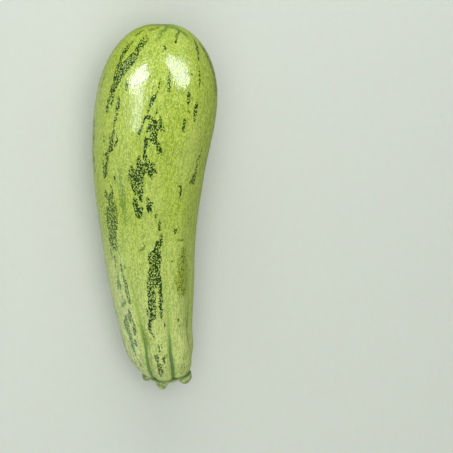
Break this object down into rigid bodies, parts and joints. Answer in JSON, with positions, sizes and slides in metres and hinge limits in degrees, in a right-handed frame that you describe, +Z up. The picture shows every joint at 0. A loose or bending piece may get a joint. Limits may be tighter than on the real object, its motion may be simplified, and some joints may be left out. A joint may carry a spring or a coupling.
{
  "type": "zucchini",
  "caption": "Pale green zucchini with dark mottled streaks, slightly bent, lying on its side, with the cut lobed foot of its stalk.",
  "frame": {"origin": "on the surface that the fruit lies on, below the middle of its outline", "axes": "+Z up, +Y towards the blossom end along the fruit's length, the bend's outer side towards -X"},
  "size_m": [0.059, 0.1762, 0.0567],
  "materials": {
    "skin": "smooth waxy zucchini skin, pale green with fine light stipple and dark green mottled streaks",
    "stalk_foot": "green fibrous stalk tissue, drier and paler at the cut"
  },
  "bodies": {
    "root": {"fruit": "skin", "stem": "stalk_foot"}
  },
  "joints": []
}
